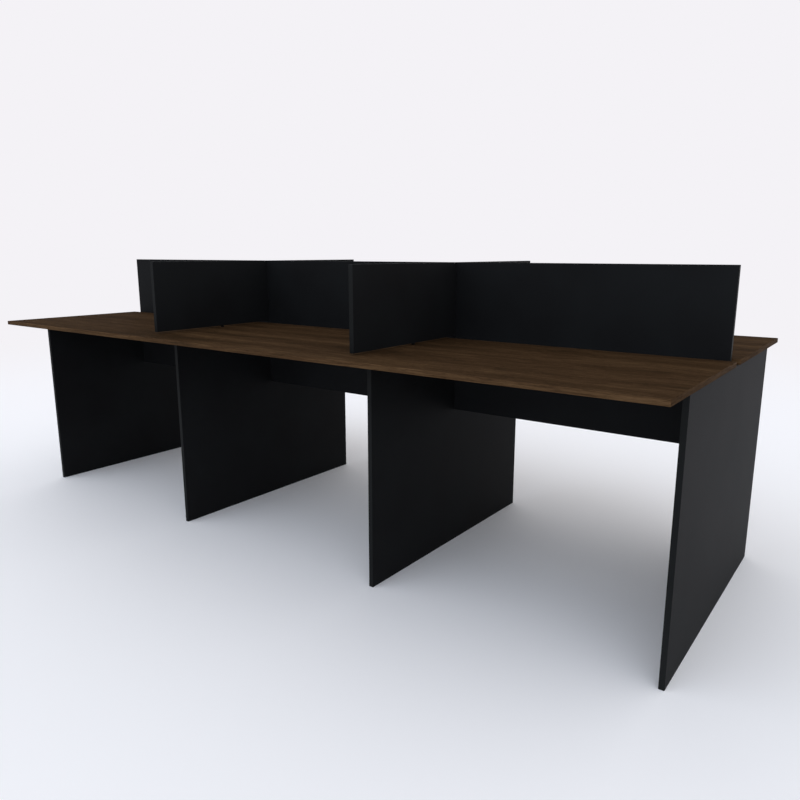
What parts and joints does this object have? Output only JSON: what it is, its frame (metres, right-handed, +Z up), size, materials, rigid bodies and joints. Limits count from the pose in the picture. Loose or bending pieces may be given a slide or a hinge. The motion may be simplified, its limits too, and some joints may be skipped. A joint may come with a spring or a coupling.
{
  "type": "benching desk",
  "caption": "Back-to-back benching desk: long dark walnut worktops on black slab legs, with black modesty panels below, a central screen and cross screens above",
  "frame": {"origin": "on the floor, under the middle of the desk", "axes": "+X along the desk to the right as seen from the front row, +Y from the front row to the rear row, +Z up"},
  "size_m": [2.75, 1.27, 0.9935],
  "materials": {
    "walnut_melamine": "matt melamine with a dark walnut print",
    "walnut_abs": "satin ABS lipping with the same print",
    "black_melamine": "matt black melamine",
    "zinc_alloy": "die-cast zinc alloy",
    "zinc_plated_steel": "bright zinc plated",
    "black_plated_steel": "black zinc plated",
    "beech": "plain fluted beech",
    "black_nylon": "moulded nylon"
  },
  "bodies": {
    "desk": {"front_worktop": "walnut_melamine", "rear_worktop": "walnut_melamine", "front_worktop_lipping": "walnut_abs", "rear_worktop_lipping": "walnut_abs", "left_end_leg": "black_melamine", "left_middle_leg": "black_melamine", "right_middle_leg": "black_melamine", "right_end_leg": "black_melamine", "left_modesty_panel": "black_melamine", "middle_modesty_panel": "black_melamine", "right_modesty_panel": "black_melamine", "central_screen": "black_melamine", "left_cross_screen": "black_melamine", "right_cross_screen": "black_melamine", "left_end_leg_front_cam": "zinc_alloy", "left_end_leg_rear_cam": "zinc_alloy", "left_middle_leg_front_cam": "zinc_alloy", "left_middle_leg_rear_cam": "zinc_alloy", "right_middle_leg_front_cam": "zinc_alloy", "right_middle_leg_rear_cam": "zinc_alloy", "right_end_leg_front_cam": "zinc_alloy", "right_end_leg_rear_cam": "zinc_alloy", "left_modesty_left_cam": "zinc_alloy", "left_modesty_right_cam": "zinc_alloy", "middle_modesty_left_cam": "zinc_alloy", "middle_modesty_right_cam": "zinc_alloy", "right_modesty_left_cam": "zinc_alloy", "right_modesty_right_cam": "zinc_alloy", "left_end_leg_front_bolt": "black_plated_steel", "left_end_leg_rear_bolt": "black_plated_steel", "left_middle_leg_front_bolt": "black_plated_steel", "left_middle_leg_rear_bolt": "black_plated_steel", "right_middle_leg_front_bolt": "black_plated_steel", "right_middle_leg_rear_bolt": "black_plated_steel", "right_end_leg_front_bolt": "black_plated_steel", "right_end_leg_rear_bolt": "black_plated_steel", "left_end_leg_modesty_bolt": "black_plated_steel", "left_middle_leg_modesty_bolt": "black_plated_steel", "right_middle_leg_modesty_bolt": "black_plated_steel", "right_end_leg_modesty_bolt": "black_plated_steel", "left_end_leg_modesty_dowel": "beech", "left_middle_leg_modesty_dowel": "beech", "right_middle_leg_modesty_dowel": "beech", "right_end_leg_modesty_dowel": "beech"},
    "left_end_leg_front_foot_body": {"left_end_leg_front_foot": "black_nylon"},
    "left_end_leg_front_stud_body": {"left_end_leg_front_stud": "zinc_plated_steel"},
    "left_end_leg_rear_foot_body": {"left_end_leg_rear_foot": "black_nylon"},
    "left_end_leg_rear_stud_body": {"left_end_leg_rear_stud": "zinc_plated_steel"},
    "left_middle_leg_front_foot_body": {"left_middle_leg_front_foot": "black_nylon"},
    "left_middle_leg_front_stud_body": {"left_middle_leg_front_stud": "zinc_plated_steel"},
    "left_middle_leg_rear_foot_body": {"left_middle_leg_rear_foot": "black_nylon"},
    "left_middle_leg_rear_stud_body": {"left_middle_leg_rear_stud": "zinc_plated_steel"},
    "right_middle_leg_front_foot_body": {"right_middle_leg_front_foot": "black_nylon"},
    "right_middle_leg_front_stud_body": {"right_middle_leg_front_stud": "zinc_plated_steel"},
    "right_middle_leg_rear_foot_body": {"right_middle_leg_rear_foot": "black_nylon"},
    "right_middle_leg_rear_stud_body": {"right_middle_leg_rear_stud": "zinc_plated_steel"},
    "right_end_leg_front_foot_body": {"right_end_leg_front_foot": "black_nylon"},
    "right_end_leg_front_stud_body": {"right_end_leg_front_stud": "zinc_plated_steel"},
    "right_end_leg_rear_foot_body": {"right_end_leg_rear_foot": "black_nylon"},
    "right_end_leg_rear_stud_body": {"right_end_leg_rear_stud": "zinc_plated_steel"}
  },
  "joints": [
    {"name": "left_end_leg_front_foot_drop", "type": "slide", "parent": "desk", "child": "left_end_leg_front_foot_body", "axis": [0, 0, -1], "range_m": [0, 0.01]},
    {"name": "left_end_leg_front_stud_turn", "type": "hinge", "parent": "left_end_leg_front_foot_body", "child": "left_end_leg_front_stud_body", "pos_m": [-1.3625, -0.41, 0.0043], "axis": [0, 0, -1], "range_deg": [0, 2880]},
    {"name": "left_end_leg_rear_foot_drop", "type": "slide", "parent": "desk", "child": "left_end_leg_rear_foot_body", "axis": [0, 0, -1], "range_m": [0, 0.01]},
    {"name": "left_end_leg_rear_stud_turn", "type": "hinge", "parent": "left_end_leg_rear_foot_body", "child": "left_end_leg_rear_stud_body", "pos_m": [-1.3625, 0.41, 0.0043], "axis": [0, 0, -1], "range_deg": [0, 2880]},
    {"name": "left_middle_leg_front_foot_drop", "type": "slide", "parent": "desk", "child": "left_middle_leg_front_foot_body", "axis": [0, 0, -1], "range_m": [0, 0.01]},
    {"name": "left_middle_leg_front_stud_turn", "type": "hinge", "parent": "left_middle_leg_front_foot_body", "child": "left_middle_leg_front_stud_body", "pos_m": [-0.4445, -0.41, 0.0043], "axis": [0, 0, -1], "range_deg": [0, 2880]},
    {"name": "left_middle_leg_rear_foot_drop", "type": "slide", "parent": "desk", "child": "left_middle_leg_rear_foot_body", "axis": [0, 0, -1], "range_m": [0, 0.01]},
    {"name": "left_middle_leg_rear_stud_turn", "type": "hinge", "parent": "left_middle_leg_rear_foot_body", "child": "left_middle_leg_rear_stud_body", "pos_m": [-0.4445, 0.41, 0.0043], "axis": [0, 0, -1], "range_deg": [0, 2880]},
    {"name": "right_middle_leg_front_foot_drop", "type": "slide", "parent": "desk", "child": "right_middle_leg_front_foot_body", "axis": [0, 0, -1], "range_m": [0, 0.01]},
    {"name": "right_middle_leg_front_stud_turn", "type": "hinge", "parent": "right_middle_leg_front_foot_body", "child": "right_middle_leg_front_stud_body", "pos_m": [0.4735, -0.41, 0.0043], "axis": [0, 0, -1], "range_deg": [0, 2880]},
    {"name": "right_middle_leg_rear_foot_drop", "type": "slide", "parent": "desk", "child": "right_middle_leg_rear_foot_body", "axis": [0, 0, -1], "range_m": [0, 0.01]},
    {"name": "right_middle_leg_rear_stud_turn", "type": "hinge", "parent": "right_middle_leg_rear_foot_body", "child": "right_middle_leg_rear_stud_body", "pos_m": [0.4735, 0.41, 0.0043], "axis": [0, 0, -1], "range_deg": [0, 2880]},
    {"name": "right_end_leg_front_foot_drop", "type": "slide", "parent": "desk", "child": "right_end_leg_front_foot_body", "axis": [0, 0, -1], "range_m": [0, 0.01]},
    {"name": "right_end_leg_front_stud_turn", "type": "hinge", "parent": "right_end_leg_front_foot_body", "child": "right_end_leg_front_stud_body", "pos_m": [1.3625, -0.41, 0.0043], "axis": [0, 0, -1], "range_deg": [0, 2880]},
    {"name": "right_end_leg_rear_foot_drop", "type": "slide", "parent": "desk", "child": "right_end_leg_rear_foot_body", "axis": [0, 0, -1], "range_m": [0, 0.01]},
    {"name": "right_end_leg_rear_stud_turn", "type": "hinge", "parent": "right_end_leg_rear_foot_body", "child": "right_end_leg_rear_stud_body", "pos_m": [1.3625, 0.41, 0.0043], "axis": [0, 0, -1], "range_deg": [0, 2880]}
  ],
  "couplings": [
    {"joint": "left_end_leg_front_stud_turn", "follows": "left_end_leg_front_foot_drop", "rad_per_m": 5026.5},
    {"joint": "left_end_leg_rear_stud_turn", "follows": "left_end_leg_rear_foot_drop", "rad_per_m": 5026.5},
    {"joint": "left_middle_leg_front_stud_turn", "follows": "left_middle_leg_front_foot_drop", "rad_per_m": 5026.5},
    {"joint": "left_middle_leg_rear_stud_turn", "follows": "left_middle_leg_rear_foot_drop", "rad_per_m": 5026.5},
    {"joint": "right_middle_leg_front_stud_turn", "follows": "right_middle_leg_front_foot_drop", "rad_per_m": 5026.5},
    {"joint": "right_middle_leg_rear_stud_turn", "follows": "right_middle_leg_rear_foot_drop", "rad_per_m": 5026.5},
    {"joint": "right_end_leg_front_stud_turn", "follows": "right_end_leg_front_foot_drop", "rad_per_m": 5026.5},
    {"joint": "right_end_leg_rear_stud_turn", "follows": "right_end_leg_rear_foot_drop", "rad_per_m": 5026.5}
  ]
}
